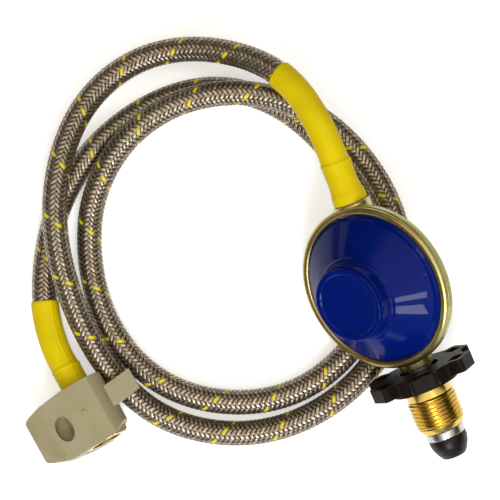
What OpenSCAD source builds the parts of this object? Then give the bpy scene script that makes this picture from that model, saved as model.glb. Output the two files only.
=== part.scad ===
// Low-pressure propane regulator with a braided hose, millimetres, +Z up.
// The regulator lies tilted on its handwheel and on the coiled hose. Its own axes are:
// local X along the inlet, local Z along the dome, local origin at the rim's centre.
// The far fitting has its own axes too: local X along the nut, out of the hose.

/* [Rim and bonnet] */
// Diameter over the rolled rim
rim_d = 75.5; // [72:0.5:84]
// Height of the rim's outer wall below the rim plane
rim_h = 4; // [2.8:0.1:4.5]
// Wall of the rolled rim
rim_wall = 1.6; // [1.2:0.1:2]
// Width of the lip that is rolled over the bonnet
lip_w = 3.4; // [2.8:0.1:4]
// Thickness of the lip
lip_t = 0.9; // [0.7:0.1:1.4]
// Height of the blue cone above the rim plane
cone_h = 12.8; // [11:0.2:15]
// Height of the tower's mouth above the rim plane
tower_h = 19.6; // [18:0.2:23]
// Diameter of the tower at its foot
tower_foot_d = 39; // [36:0.5:42]
// Diameter of the tower at its mouth
tower_d = 34.8; // [33:0.2:36]
// Wall of the bonnet
bonnet_wall = 1.8; // [1.4:0.1:2.2]
// Diameter of the tower's cap
cap_d = 33.4; // [32:0.2:34.6]
// Thickness of the cap's disc
cap_t = 1.8; // [1.4:0.1:2.6]
// Diameter of the vent in the bonnet
vent_d = 4; // [3:0.5:5]

/* [Body] */
// Depth of the bowl below the rim plane
bowl_depth = 15.8; // [15.6:0.1:18]
// Wall of the bowl
body_wall = 2.2; // [1.8:0.1:2.4]
// Depth of the ports' axis below the rim plane
port_drop = 7.5; // [7.2:0.1:7.8]
// Diameter of the outlet boss
outlet_boss_d = 17; // [16:0.2:19]
// Reach of the outlet boss beyond the rim
outlet_stand = 0.7; // [0.4:0.1:4]
// Diameter of the inlet boss
inlet_boss_d = 16; // [15.6:0.2:17.6]
// Reach of the inlet boss beyond the rim
inlet_stand = 2.8; // [1:0.1:5]

/* [Diaphragm and spring] */
// Thickness of the body gasket
gasket_t = 0.4; // [0.3:0.1:0.6]
// Thickness of the diaphragm
diaphragm_t = 0.8; // [0.6:0.1:1]
// Thickness of the bonnet's flange
flange_t = 0.9; // [0.7:0.1:1.2]
// Diameter of the diaphragm plate
plate_d = 45; // [40:0.5:46]
// Thickness of the diaphragm plate
plate_t = 1; // [0.8:0.1:1.4]
// Diameter of the post's stem
post_d = 6; // [5:0.2:6.4]
// Mean diameter of the main spring
spring_d = 19.8; // [18.6:0.2:21]
// Wire of the main spring
spring_wire = 1.5; // [1.2:0.1:1.6]
// Turns of the main spring
spring_turns = 5; // [4:1:5]
// Diameter of the adjusting screw
screw_d = 25.9; // [24.6:0.1:26.2]
// Thickness of the adjusting screw
screw_t = 3.5; // [3:0.1:4]
// Travel of the diaphragm
diaphragm_travel = 1.2; // [0.8:0.1:1.3]

/* [Valve] */
// Distance of the lever's pivot from the dome axis
pivot_x = 9; // [8.6:0.1:9.4]
// Depth of the lever's pivot below the ports' axis
pivot_drop = 3.8; // [3.6:0.1:3.9]
// Diameter of the lever's pin
pin_d = 2.4; // [2:0.1:2.6]
// Thickness of the lever
lever_t = 3; // [2.4:0.1:3.2]
// Diameter of the valve plunger
plunger_d = 5.2; // [4.8:0.1:5.4]
// Open gap between the nozzle and the seat disc
seat_gap = 0.8; // [0.75:0.05:1]
// Diameter of the nozzle's body
nozzle_d = 8; // [7:0.2:8.2]

/* [Bottle connector] */
// Thread diameter of the bottle nut
pol_d = 22.5; // [22.3:0.1:22.6]
// Length of the thread
pol_thread_l = 13.4; // [12:0.2:15]
// Length of the neck behind the thread
pol_neck_l = 4.4; // [3:0.2:6]
// Length of the nut's tapered nose
pol_taper_l = 2.8; // [2:0.2:4]
// Diameter of the shank that the nut turns on
shank_d = 12; // [11:0.2:12.6]
// Across flats of the nut's hexagon inside the handwheel
pol_hex = 22; // [21:0.2:23]
// Diameter of the steel collar in front of the nut
collar_d = 17.6; // [16.8:0.2:18.2]
// Length of the steel collar
collar_l = 3.5; // [3:0.1:4.5]
// Length of the rubber nose
nose_l = 9.8; // [8:0.2:11]
// Diameter of the rubber nose at its tip
nose_tip_d = 10.7; // [9.8:0.1:12]
// Diameter of the gas passage
gas_d = 6; // [5:0.2:6.4]

/* [Handwheel] */
// Diameter over the lobes
wheel_d = 49.3; // [46:0.1:50]
// Thickness of the lobes
wheel_t = 6; // [5:0.2:7]
// Lobes
lobes = 6; // [6]
// Turn of the handwheel about its axis
wheel_phase = 22; // [-30:1:30]
// Width of a lobe
lobe_w = 13; // [12:0.2:14]
// Diameter of the hub
hub_d = 30.6; // [29:0.2:32]
// Length of the hub
hub_l = 8.5; // [8:0.1:9]
// Depth of the pockets in the lobes
pocket_depth = 2; // [1:0.2:2.4]

/* [Hose] */
// Diameter over the braid
hose_d = 11.4; // [11:0.1:11.6]
// Wall of the braid
braid_t = 0.75; // [0.6:0.05:0.9]
// Wall of the liner
liner_t = 1.05; // [0.8:0.05:1.2]
// Diameter of the hose where a ferrule squeezes it
crimp_d = 10.1; // [9.8:0.1:10.3]
// Wall of a ferrule
ferrule_wall = 0.8; // [0.6:0.1:1]
// Length of a ferrule
ferrule_l = 16; // [14:0.5:18]
// Wall of a shrink sleeve
sleeve_t = 0.6; // [0.5:0.05:0.8]

/* [Flare end] */
// Across flats of the flare nut
flare_hex = 19; // [18.6:0.1:19.6]
// Length of the flare nut
flare_l = 19; // [18:0.2:21]
// Minor diameter of the flare nut's thread
flare_bore = 14.4; // [14.2:0.1:14.6]
// Diameter of the winged collar's barrel
barrel_d = 26; // [25:0.1:26.4]
// Length of the winged collar
collar_length = 28.9; // [28.4:0.1:29.6]
// Reach of the broad wing from the nut's axis
wing_reach = 28.5; // [26:0.5:30]
// Length of the oval pocket in the broad wing
pocket_l = 12; // [9:0.2:13]
// Width of the oval pocket in the broad wing
pocket_w = 8; // [5:0.2:8.4]
// Reach of the narrow lug from the nut's axis
lug_reach = 25; // [22:0.5:26]
// Width of the narrow lug
lug_w = 9.8; // [8:0.2:11]

/* [Clearances] */
// Between plates that are clamped together
seat = 0.05; // [0.03:0.01:0.06]
// Radial, between a turning or sliding piece and its guide
running = 0.08; // [0.05:0.01:0.1]
// Radial, between pieces that are screwed or pressed together
fitted = 0.05; // [0.03:0.01:0.06]
// Between moving pieces that pass each other
pass = 0.4; // [0.35:0.05:0.45]

/* [Hidden] */

// Where the regulator and the far fitting lie
reg_pos = [-7.6, 17.8, 36.2];
reg_tilt = [41.8, 6.4, -67.1];
outlet_turn = -1;
far_pos = [-140.5, -26.5, 12.4];
far_turn = -60;
far_rise = 8;

// Clamped stack at the rim, from the body's seat up
rim_r = rim_d / 2;
outlet_reach = rim_r + outlet_stand;
inlet_reach = rim_r + inlet_stand;
edge = 0.6;
plate_r = rim_r - rim_wall - 0.2;
lip_top = 1.5;
lip_low = lip_top - lip_t;
flange_z = lip_low - seat - flange_t;
diaphragm_z = flange_z - seat - diaphragm_t;
gasket_z = diaphragm_z - seat - gasket_t;
seat_z = gasket_z - seat;
cavity_r = rim_r - 7;
bore_of_bonnet_r = rim_r - lip_w - 1.6;

// Spring column
plate_z = diaphragm_z + diaphragm_t + seat;
screw_z = tower_h - cap_t - 0.4 - screw_t;
spring_low = plate_z + plate_t + 0.3 + spring_wire / 2;
spring_high = screw_z - 0.3 - spring_wire / 2;
tower_bore_d = screw_d + 2 * running;

// Valve line, all along the ports' axis
pivot_z = -port_drop - pivot_drop;
lever_hub_r = pin_d / 2 + 1;
nose_r = 1.3;
tip_r = 1.05;
nozzle_tip_x = 16;
nozzle_foot_x = 27;
seat_face_x = nozzle_tip_x - seat_gap;
plunger_front_x = seat_face_x - 0.4;
plunger_back_x = pivot_x - 2.8;
guide_x = pivot_x + lever_hub_r + pass;
guide_end_x = nozzle_tip_x - 0.2;
lever_tip_z = -4.6;
floor_z = body_wall - bowl_depth;

// Bottle connector, along the ports' axis
wheel_x = inlet_reach + 0.9;
hex_x = wheel_x + 1.4;
neck_x = wheel_x + hub_l;
thread_x = neck_x + pol_neck_l;
taper_x = thread_x + pol_thread_l;
nut_end_x = taper_x + pol_taper_l;
collar_x = nut_end_x + 0.3;
nose_x = collar_x + collar_l;
nipple_thread_d = 9.2;
nose_pin_r = gas_d / 2 + 1.4;
nose_pin_l = 6;
thread_in = 1;

// Outlet line: distances along the ports' axis, away from the inlet
shoulder_u = outlet_reach + seat;
shoulder_l = 2.6;
shoulder_r = 7;
outlet_thread_r = 4.8;
outlet_thread_l = 10;
ferrule_u = shoulder_u + shoulder_l + seat;
hose_u = ferrule_u + 2;
crimp_end_u = ferrule_u + ferrule_l;
swell_u = crimp_end_u + 2;
lead_u = crimp_end_u + 5;
sleeve_u = outlet_reach + 0.6;

// Far fitting: distances along its axis from the collar's back face
far_ferrule_x = -9;
far_hose_x = far_ferrule_x + ferrule_l - 2;
far_swell_x = far_ferrule_x - 2;
far_lead_x = far_ferrule_x - 3;
far_sleeve_x = -0.4;
far_shoulder_x = far_ferrule_x + ferrule_l + seat;
nut_x = collar_length - 0.2 - flare_l;
far_neck_r = 4.6;
head_r = flare_bore / 2 - 0.3;
head_x = nut_x + 8.6;
head_l = 3;
head_end_x = head_x + head_l;
relief_r = flare_bore / 2 + 0.4;
wrench_hex = flare_hex + 2 * fitted;
collar_top = 11.2;
collar_low = 12.2;

// Hose cross-section
hose_r = hose_d / 2;
crimp_r = crimp_d / 2;
braid_in = hose_r - braid_t;
liner_out = braid_in - 0.1;
liner_in = liner_out - liner_t;
crimp_shrink = hose_r - crimp_r;
barb_r = (liner_in - crimp_shrink) * cos(180 / 10) - 0.06;
stem_bore_r = barb_r - 0.7;
seat_cone_l = head_r - 1 - stem_bore_r;
ferrule_in = crimp_r + fitted;
ferrule_out = ferrule_in + ferrule_wall;
hose_sides = 10;
sleeve_fit = 0.06;

// The hose's route: points that a smooth curve is drawn near, from the regulator on
lie = hose_r;
hose_route = [
    [-48, 116, 31], [-82, 127, 13.5], [-112, 123, 8.5], [-135, 105, 11], [-147, 80, 16.5],
    [-151, 51, 19], [-146, 20, 17], [-131, -15, 11.5], [-107, -41, lie], [-76, -50, lie],
    [-45, -47, lie], [-16, -30, lie], [3, -5, lie], [9, 25, lie], [2, 58, 12.5],
    [-21, 89, 17.5], [-54, 107, 18.5], [-92, 104, 17.5], [-119, 86, 17.5], [-133, 61, 9.5],
    [-136, 39, 5], [-132, 9, 6], [-114, -20, lie], [-85, -35, lie], [-49, -35, lie],
    [-22, -19, lie], [-5.5, 5, lie], [-4, 37, lie], [-17, 72, lie], [-45, 101, lie],
    [-79, 111, lie], [-111, 100, lie], [-136, 79, lie], [-152, 51, lie], [-157, 14, lie]
];

// Turning a point as rotate() does
function about_x(a, p) = [p.x, p.y * cos(a) - p.z * sin(a), p.y * sin(a) + p.z * cos(a)];
function about_y(a, p) = [p.x * cos(a) + p.z * sin(a), p.y, p.z * cos(a) - p.x * sin(a)];
function about_z(a, p) = [p.x * cos(a) - p.y * sin(a), p.x * sin(a) + p.y * cos(a), p.z];
function outlet_point(u) =
    let (p = about_z(outlet_turn, [-u, 0, -port_drop]))
    reg_pos + about_z(reg_tilt.z, about_y(reg_tilt.y, about_x(reg_tilt.x, p)));
function far_point(x) = far_pos + about_z(far_turn, about_y(-far_rise, [x, 0, 0]));

// Uniform cubic B-spline: one span between four neighbouring points
function span_point(p, i, t) =
    ((1 - t) ^ 3 * p[i] + (3 * t ^ 3 - 6 * t ^ 2 + 4) * p[i + 1]
     + (3 * t * (1 + t - t ^ 2) + 1) * p[i + 2] + t ^ 3 * p[i + 3]) / 6;
function spans(p, from, to, steps) =
    [for (i = [from : to]) for (k = [0 : steps - 1]) span_point(p, i, k / steps)];

outlet_step = 14;
far_step = 9;
end_spans = 2;
control = concat(
    [for (k = [-1 : 1]) outlet_point(lead_u + k * outlet_step)],
    hose_route,
    [for (k = [1 : -1 : -1]) far_point(far_lead_x - k * far_step)]
);
last_span = len(control) - 4;
sleeve_steps = 3;
loop_steps = 2;
curve = concat(
    spans(control, 0, end_spans - 1, sleeve_steps),
    spans(control, end_spans, last_span - end_spans, loop_steps),
    spans(control, last_span - end_spans + 1, last_span, sleeve_steps),
    [far_point(far_lead_x)]
);
hose_path = concat(
    [outlet_point(hose_u), outlet_point(crimp_end_u), outlet_point(swell_u)],
    curve,
    [far_point(far_swell_x), far_point(far_ferrule_x), far_point(far_hose_x)]
);
rings = len(hose_path);
crimp_rings = 2;
squeeze = [for (i = [0 : rings - 1]) i < crimp_rings || i >= rings - crimp_rings ? crimp_shrink : 0];
sleeve_rings = end_spans * sleeve_steps;

// How near the hose comes to itself, measured from its rings to its chords
function unit(v) = v / norm(v);
function to_chord(p, a, b) =
    let (t = max(0, min(1, (p - a) * (b - a) / ((b - a) * (b - a))))) norm(p - a - t * (b - a));
near_rings = 7;
least_gap = min([
    for (i = [0 : rings - 1]) for (j = [i + near_rings : 1 : rings - 2])
        to_chord(hose_path[i], hose_path[j], hose_path[j + 1])
]) - hose_d;
function length_of(p, i = 0) = i >= len(p) - 1 ? 0 : norm(p[i + 1] - p[i]) + length_of(p, i + 1);
echo(str("hose: ", rings, " rings, ", round(length_of(hose_path)), " mm long, least gap to itself ",
         round(100 * least_gap) / 100, " mm"));

module on_regulator() { translate(reg_pos) rotate(reg_tilt) children(); }
module on_outlet() { on_regulator() rotate([0, 0, outlet_turn]) children(); }
module on_far() { translate(far_pos) rotate([0, -far_rise, far_turn]) children(); }
module along_x(x = 0, drop = 0) { translate([x, 0, -drop]) rotate([0, 90, 0]) children(); }
module port(x, r, l, r2 = undef) {
    along_x(x, port_drop) cylinder(r1 = r, r2 = is_undef(r2) ? r : r2, h = l, $fn = 64);
}
module hexagon(flats, l) { cylinder(d = flats / cos(30), h = l, $fn = 6); }

// A tube swept along a path of rings, flat side down, with an open bore
module tube(path, out, bore, sides) {
    n = len(path);
    function along(i) = unit(path[min(i + 1, n - 1)] - path[max(i - 1, 0)]);
    function ring(i, r) =
        let (t = along(i), side = unit(cross([0, 0, 1], t)), up = cross(t, side))
        [for (k = [0 : sides - 1]) let (a = 360 * (k + 0.5) / sides - 90)
            path[i] + r * (cos(a) * side + sin(a) * up)];
    points = concat(
        [for (i = [0 : n - 1]) each ring(i, out[i])],
        [for (i = [0 : n - 1]) each ring(i, bore[i])]
    );
    function at(i, k, wall) = wall * n * sides + i * sides + k % sides;
    function quad(a, b, c, d) = [[a, b, c], [a, c, d]];
    polyhedron(points, [
        for (k = [0 : sides - 1]) each concat(
            [for (i = [0 : n - 2]) each
                quad(at(i, k, 0), at(i + 1, k, 0), at(i + 1, k + 1, 0), at(i, k + 1, 0))],
            [for (i = [0 : n - 2]) each
                quad(at(i, k, 1), at(i, k + 1, 1), at(i + 1, k + 1, 1), at(i + 1, k, 1))],
            quad(at(0, k, 0), at(0, k + 1, 0), at(0, k + 1, 1), at(0, k, 1)),
            quad(at(n - 1, k + 1, 0), at(n - 1, k, 0), at(n - 1, k, 1), at(n - 1, k + 1, 1))
        )
    ]);
}

// Arc of a profile, from angle a to angle b
function arc(c, r, a, b, n = 6) = [for (k = [0 : n]) let (t = a + (b - a) * k / n) c + r * [cos(t), sin(t)]];

module bowl_profile() {
    polygon(concat(
        [[0, -bowl_depth], [rim_r * 0.42, -bowl_depth]],
        [[rim_r * 0.6, 1.8 - bowl_depth], [rim_r * 0.86, -rim_h - 1.8], [rim_r - rim_wall, -rim_h]],
        arc([rim_r - 0.6, -rim_h + 0.6], 0.6, -90, 0, 3),
        arc([rim_r - 1.9, lip_top - 1.9], 1.9, 0, 90),
        arc([rim_r - lip_w + 0.3, lip_top - 0.3], 0.3, 90, 180, 3),
        [[rim_r - lip_w, lip_low], [rim_r - rim_wall, lip_low], [rim_r - rim_wall, seat_z], [0, seat_z]]
    ));
}

module cavity_profile() {
    polygon([
        [0, floor_z], [rim_r * 0.4, floor_z], [rim_r * 0.6, 1.8 + floor_z],
        [cavity_r - 1.5, seat_z - 2.4], [cavity_r, seat_z - 1], [cavity_r, seat_z + 1], [0, seat_z + 1]
    ]);
}

module lower_body() {
    boss_foot = rim_r * 0.6;
    cheek_gap = 2;
    cheek_w = 4.8;
    cheek_t = 4;
    cheek_h = pivot_z + pin_d / 2 + 0.4 - floor_z + 0.5;
    color("goldenrod") on_regulator() difference() {
        union() {
            difference() {
                union() {
                    rotate_extrude($fn = 128) bowl_profile();
                    port(boss_foot, inlet_boss_d / 2, inlet_reach - boss_foot - edge);
                    port(inlet_reach - edge, inlet_boss_d / 2, edge, inlet_boss_d / 2 - edge);
                    rotate([0, 0, outlet_turn]) {
                        port(-outlet_reach + edge, outlet_boss_d / 2, outlet_reach - boss_foot - edge);
                        port(-outlet_reach, outlet_boss_d / 2 - edge, edge, outlet_boss_d / 2);
                    }
                }
                intersection() {
                    rotate_extrude($fn = 128) cavity_profile();
                    translate([0, 0, floor_z]) cylinder(r = rim_r, h = seat_z - floor_z + 1, $fn = 128);
                }
                translate([0, 0, seat_z]) cylinder(r = rim_r - rim_wall, h = lip_low - seat_z, $fn = 128);
                translate([0, 0, seat_z]) cylinder(r = rim_r - lip_w, h = 6, $fn = 128);
            }
            // Inner boss that holds the nozzle and guides the plunger
            port(guide_x, nozzle_d / 2 + 1.4, nozzle_foot_x - guide_x);
            // Cheeks that hold the lever's pin
            for (s = [0, 1]) mirror([0, s, 0])
                translate([pivot_x - cheek_w / 2, cheek_gap, floor_z - 0.5]) cube([cheek_w, cheek_t, cheek_h]);
        }
        // Inlet: thread of the nipple, bore of the nozzle, guide of the plunger
        port(nozzle_foot_x, nipple_thread_d / 2 + fitted, inlet_reach);
        port(guide_end_x, nozzle_d / 2 + fitted, nozzle_foot_x - guide_end_x + 1);
        port(guide_x - 1, plunger_d / 2 + running, guide_end_x - guide_x + 2);
        translate([nozzle_tip_x + 1.2, 0, -port_drop]) rotate([90, 0, 0])
            cylinder(d = 2.6, h = 2 * nozzle_d, center = true, $fn = 32);
        // Outlet: thread of the stem and passage to the bowl
        rotate([0, 0, outlet_turn]) {
            port(-outlet_reach - 1, outlet_thread_r + fitted, outlet_thread_l + 1.5);
            port(-outlet_reach + 1, outlet_thread_r - 1, outlet_reach - cavity_r + 9);
        }
        // Bore of the lever's pin
        translate([pivot_x, 0, pivot_z]) rotate([90, 0, 0])
            cylinder(d = pin_d + 2 * fitted, h = 14, center = true, $fn = 32);
    }
}

module bonnet() {
    flange_r = rim_r - lip_w - 0.4;
    color("mediumblue") on_regulator() difference() {
        rotate_extrude($fn = 128) polygon(concat(
            [[bore_of_bonnet_r, flange_z], [plate_r, flange_z], [plate_r, flange_z + flange_t]],
            [[flange_r, flange_z + flange_t], [flange_r - 0.5, 2.1]],
            [[tower_foot_d / 2 + 0.8, cone_h - 0.4], [tower_foot_d / 2, cone_h + 0.3]],
            [[tower_foot_d / 2 - 0.4, cone_h + 1.2], [tower_d / 2 + 0.4, cone_h + 1.7]],
            [[tower_d / 2, tower_h - 0.4], [tower_d / 2 - 0.4, tower_h], [tower_bore_d / 2, tower_h]],
            [[tower_bore_d / 2, screw_z - 0.3], [tower_foot_d / 2 - 4.6, screw_z - 0.3]],
            [[tower_foot_d / 2 - 4.6, cone_h - 2.6], [flange_r - 2, 2.1 - bonnet_wall * 0.6]]
        ));
        vent_place(-1) cylinder(d = vent_d, h = 12, $fn = 32);
    }
}

// Square to the cone's face on the low side, a distance above its inner face
module vent_place(lift) {
    slope = atan((cone_h - 2.5) / (rim_r - lip_w - 0.9 - tower_foot_d / 2 - 0.8));
    r = (rim_r - lip_w - 0.9 + tower_foot_d / 2 + 0.8) / 2;
    translate([0, -r, (cone_h - 0.4 + 2.1) / 2]) rotate([slope, 0, 0])
        translate([0, 0, lift - bonnet_wall * 1.6]) children();
}

module vent_screen() {
    color("silver") on_regulator() vent_place(bonnet_wall * 1.6 - 1.2)
        cylinder(d = vent_d - 2 * fitted, h = 0.4, $fn = 32);
}

module tower_cap() {
    rim_of_cap = cap_d / 2 * 0.86;
    color("royalblue") on_regulator() rotate_extrude($fn = 96) polygon([
        [0, tower_h - cap_t], [screw_d / 2, tower_h - cap_t], [screw_d / 2, tower_h + seat],
        [cap_d / 2, tower_h + seat], [cap_d / 2, tower_h + cap_t - 0.5], [cap_d / 2 - 0.5, tower_h + cap_t],
        [rim_of_cap, tower_h + cap_t], [rim_of_cap - 0.5, tower_h + cap_t - 0.6], [0, tower_h + cap_t - 0.6]
    ]);
}

module adjusting_screw() {
    color("gold") on_regulator() translate([0, 0, screw_z]) difference() {
        cylinder(d = screw_d, h = screw_t, $fn = 96);
        translate([0, 0, 1]) hexagon(10, screw_t);
        translate([0, 0, -1]) cylinder(d = 6, h = screw_t, $fn = 48);
    }
}

module main_spring() {
    steps = 12;
    count = spring_turns * steps;
    path = [for (i = [0 : count]) let (a = 360 * i / steps)
        [spring_d / 2 * cos(a), spring_d / 2 * sin(a), spring_low + (spring_high - spring_low) * i / count]];
    color("gray") on_regulator() wire(path, spring_wire / 2, 6);
}

// A solid round wire along a path
module wire(path, r, sides) {
    n = len(path);
    function ring(i) =
        let (t = unit(path[min(i + 1, n - 1)] - path[max(i - 1, 0)]),
             side = unit(cross([0, 0, 1], t)), up = cross(t, side))
        [for (k = [0 : sides - 1]) let (a = 360 * (k + 0.5) / sides - 90)
            path[i] + r * (cos(a) * side + sin(a) * up)];
    polyhedron([for (i = [0 : n - 1]) each ring(i)], concat(
        [for (i = [0 : n - 2]) for (k = [0 : sides - 1]) let (j = (k + 1) % sides) each [
            [i * sides + k, (i + 1) * sides + k, (i + 1) * sides + j],
            [i * sides + k, (i + 1) * sides + j, i * sides + j]]],
        [[for (k = [0 : sides - 1]) k]],
        [[for (k = [sides - 1 : -1 : 0]) (n - 1) * sides + k]]
    ));
}

module body_gasket() {
    color("saddlebrown") on_regulator() translate([0, 0, gasket_z]) difference() {
        cylinder(r = plate_r, h = gasket_t, $fn = 128);
        translate([0, 0, -1]) cylinder(r = cavity_r + 0.3, h = gasket_t + 2, $fn = 128);
    }
}

module diaphragm() {
    roll = 2.2;
    roll_r = (plate_d / 2 + cavity_r) / 2 + 0.4;
    top = diaphragm_z + diaphragm_t;
    color("darkslategray") on_regulator() rotate_extrude($fn = 128) polygon(concat(
        [[post_d / 2 + fitted, diaphragm_z], [roll_r - roll + diaphragm_t, diaphragm_z]],
        arc([roll_r, diaphragm_z], roll - diaphragm_t, 180, 0, 8),
        [[plate_r, diaphragm_z], [plate_r, top], [roll_r + roll, top]],
        arc([roll_r, top], roll, 0, 180, 8),
        [[post_d / 2 + fitted, top]]
    ));
}

module diaphragm_plate() {
    lip_r = spring_d / 2 - spring_wire / 2 - 0.4;
    color("silver") on_regulator() translate([0, 0, plate_z]) rotate_extrude($fn = 96) polygon([
        [post_d / 2 + fitted, 0], [plate_d / 2 - 0.6, 0], [plate_d / 2, 0.6], [plate_d / 2, plate_t + 0.8],
        [plate_d / 2 - 0.8, plate_t + 0.8], [plate_d / 2 - 1.2, plate_t], [lip_r, plate_t],
        [lip_r, plate_t + 1.6], [lip_r - 0.8, plate_t + 1.6], [lip_r - 0.8, plate_t],
        [post_d / 2 + fitted, plate_t]
    ]);
}

module post_nut() {
    flats = 10;
    nut_h = 3;
    color("silver") on_regulator() translate([0, 0, plate_z + plate_t + seat]) difference() {
        hexagon(flats, nut_h);
        translate([0, 0, -1]) cylinder(d = post_d + 2 * fitted, h = nut_h + 2, $fn = 48);
    }
}

module diaphragm_post() {
    head_t = 1;
    head_r = 7.4;
    foot_r = 3;
    foot_z = lever_tip_z - 3.2;
    stem_top = plate_z + plate_t + 4;
    slot_x = -1.8;
    head_z = diaphragm_z - seat - head_t;
    color("burlywood") on_regulator() difference() {
        union() {
            translate([0, 0, head_z]) cylinder(r = head_r, h = head_t, $fn = 64);
            translate([0, 0, head_z]) cylinder(d = post_d, h = stem_top - head_z, $fn = 48);
            translate([0, 0, foot_z]) cylinder(r = foot_r, h = head_z - foot_z, $fn = 48);
        }
        translate([slot_x, -lever_t / 2 - pass, lever_tip_z - tip_r - pass])
            cube([2 * foot_r, lever_t + 2 * pass, 2 * (tip_r + pass)]);
    }
}

module lever() {
    arm_t = 1.7;
    riser_x = 4.2;
    color("silver") on_regulator() rotate([90, 0, 0])
        translate([0, 0, -lever_t / 2]) linear_extrude(lever_t) difference() {
            union() {
                translate([pivot_x, pivot_z]) circle(r = lever_hub_r, $fn = 48);
                translate([pivot_x - 0.9, pivot_z]) square([1.8, pivot_drop]);
                translate([pivot_x, -port_drop]) circle(r = nose_r, $fn = 32);
                translate([riser_x - arm_t / 2, floor_z + 0.6]) square([pivot_x - riser_x, arm_t]);
                translate([riser_x - arm_t / 2, floor_z + 0.6])
                    square([arm_t, lever_tip_z + arm_t / 2 - floor_z - 0.6]);
                translate([0, lever_tip_z - arm_t / 2]) square([riser_x, arm_t]);
                translate([0, lever_tip_z]) circle(r = tip_r, $fn = 32);
            }
            translate([pivot_x, pivot_z]) circle(d = pin_d + 2 * running, $fn = 32);
        }
}

module lever_pin() {
    color("silver") on_regulator() translate([pivot_x, 0, pivot_z]) rotate([90, 0, 0])
        cylinder(d = pin_d, h = 12, center = true, $fn = 32);
}

module valve_plunger() {
    color("gold") on_regulator() difference() {
        port(plunger_back_x, plunger_d / 2, plunger_front_x - plunger_back_x);
        port(plunger_front_x - 1.1, plunger_d / 2 - 0.55 + fitted, 2);
        // Slot of the lever's nose, and room for the lever's hub below it
        translate([pivot_x - nose_r - pass, -lever_t / 2 - pass, -port_drop - plunger_d])
            cube([2 * (nose_r + pass), lever_t + 2 * pass, plunger_d + nose_r + pass]);
        translate([plunger_back_x - 1, -plunger_d, pivot_z])
            cube([guide_x - plunger_back_x + 0.4, 2 * plunger_d, lever_hub_r + pass]);
    }
}

module seat_disc() {
    color("dimgray") on_regulator() port(plunger_front_x - 1.1 + seat, plunger_d / 2 - 0.55, 1.5 - seat);
}

module orifice_nozzle() {
    orifice_r = 0.9;
    inlet_r = 2;
    color("gold") on_regulator() difference() {
        union() {
            port(nozzle_tip_x, 1.5, 1.2, 2.3);
            port(nozzle_tip_x + 1.2, 2.3, 1.6);
            port(nozzle_tip_x + 2.6, nozzle_d / 2, nozzle_foot_x - nozzle_tip_x - 2.6);
        }
        port(nozzle_tip_x - 1, orifice_r, nozzle_foot_x);
        port(nozzle_tip_x + 4, inlet_r, nozzle_foot_x);
    }
}

module inlet_nipple() {
    bevel = 0.4;
    color("lightgray") on_regulator() difference() {
        union() {
            port(nozzle_foot_x + bevel, nipple_thread_d / 2, inlet_reach + thread_in - nozzle_foot_x - bevel);
            port(inlet_reach + seat, shank_d / 2, collar_x - inlet_reach);
            port(collar_x, collar_d / 2 - bevel, bevel, collar_d / 2);
            port(collar_x + bevel, collar_d / 2, collar_l - 2 * bevel);
            port(nose_x - bevel, collar_d / 2, bevel, collar_d / 2 - bevel);
            port(nose_x - bevel, nose_pin_r, nose_pin_l + bevel);
        }
        port(nozzle_foot_x, gas_d / 2, nose_x);
    }
}

module nose_seal() {
    end = nose_x + nose_l;
    base_r = collar_d / 2 - 0.1;
    tip_r = nose_tip_d / 2;
    bulge = base_r - tip_r;
    pin_end = nose_x + nose_pin_l + 0.4;
    color("black") on_regulator() along_x(0, port_drop) rotate_extrude($fn = 96) polygon(concat(
        [[nose_pin_r + fitted, nose_x + seat], [base_r, nose_x + seat]],
        [for (t = [0 : 15 : 75]) [tip_r + bulge * cos(t), nose_x + 1.4 + (nose_l - 2.6) * sin(t)]],
        arc([tip_r - 1.2, end - 1.2], 1.2, 20, 90, 4),
        [[gas_d / 2 - 0.5, end], [gas_d / 2 - 0.5, pin_end], [nose_pin_r + fitted, pin_end]]
    ));
}

module pol_nut() {
    color("darkgoldenrod") on_regulator() difference() {
        union() {
            along_x(hex_x + 0.1, port_drop) hexagon(pol_hex, neck_x - hex_x - 0.6);
            port(neck_x - 1, pol_d / 2 - 1, pol_neck_l + 1);
            port(thread_x, pol_d / 2, pol_thread_l);
            port(taper_x, pol_d / 2, pol_taper_l, collar_d / 2 + 0.5);
        }
        port(hex_x - 1, shank_d / 2 + running, 60);
    }
}

module handwheel() {
    scallop_r = 7.5;
    scallop_at = wheel_d / 2 + 2.9;
    module lobe() {
        corner = 2.2;
        tip = wheel_d / 2;
        translate([0, -lobe_w / 2 + corner]) square([tip, lobe_w - 2 * corner]);
        translate([0, -lobe_w / 2]) square([tip - corner, lobe_w]);
        for (s = [-1, 1]) translate([tip - corner, s * (lobe_w / 2 - corner)]) circle(r = corner, $fn = 32);
    }
    module pockets(x) {
        along_x(x, port_drop) for (k = [0 : lobes - 1]) rotate(k * 360 / lobes + wheel_phase)
            translate([wheel_d / 2 - 8, -3.6, 0]) cube([5.4, 7.2, pocket_depth]);
    }
    color("darkslategray") on_regulator() difference() {
        union() {
            along_x(wheel_x, port_drop) linear_extrude(wheel_t) difference() {
                union() {
                    circle(r = wheel_d / 2 - 4, $fn = 96);
                    for (k = [0 : lobes - 1]) rotate(k * 360 / lobes + wheel_phase) lobe();
                }
                for (k = [0 : lobes - 1]) rotate((k + 0.5) * 360 / lobes + wheel_phase)
                    translate([scallop_at, 0]) circle(r = scallop_r, $fn = 64);
            }
            port(wheel_x, hub_d / 2, hub_l);
        }
        along_x(hex_x, port_drop) hexagon(pol_hex + 2 * fitted, hub_l);
        port(wheel_x - 1, inlet_boss_d / 2 + 1.2, 4);
        pockets(wheel_x - 0.01);
        pockets(wheel_x + wheel_t - pocket_depth + 0.01);
    }
}

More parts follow.
